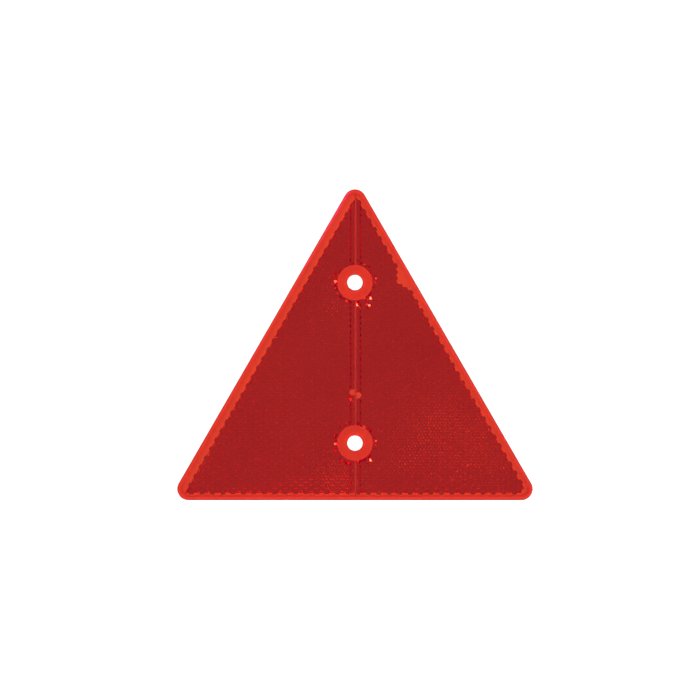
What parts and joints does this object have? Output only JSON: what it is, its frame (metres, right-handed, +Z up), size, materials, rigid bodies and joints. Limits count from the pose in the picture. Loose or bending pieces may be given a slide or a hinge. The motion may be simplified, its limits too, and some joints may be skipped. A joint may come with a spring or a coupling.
{
  "type": "triangle reflector",
  "caption": "Flat triangular reflex reflector with round corners, a moulded prism lens and a welded back plate, fixed by screws through its face.",
  "frame": {"origin": "halfway between the two screw holes, on the back plane", "axes": "+Z up as mounted, the front faces -Y, +X to the right as seen from the front"},
  "size_m": [0.155, 0.008, 0.1356],
  "materials": {
    "red_acrylic": "clear red acrylic, polished",
    "white_plate": "moulded, fine matt"
  },
  "bodies": {
    "root": {"lens": "red_acrylic", "back_plate": "white_plate"}
  },
  "joints": []
}
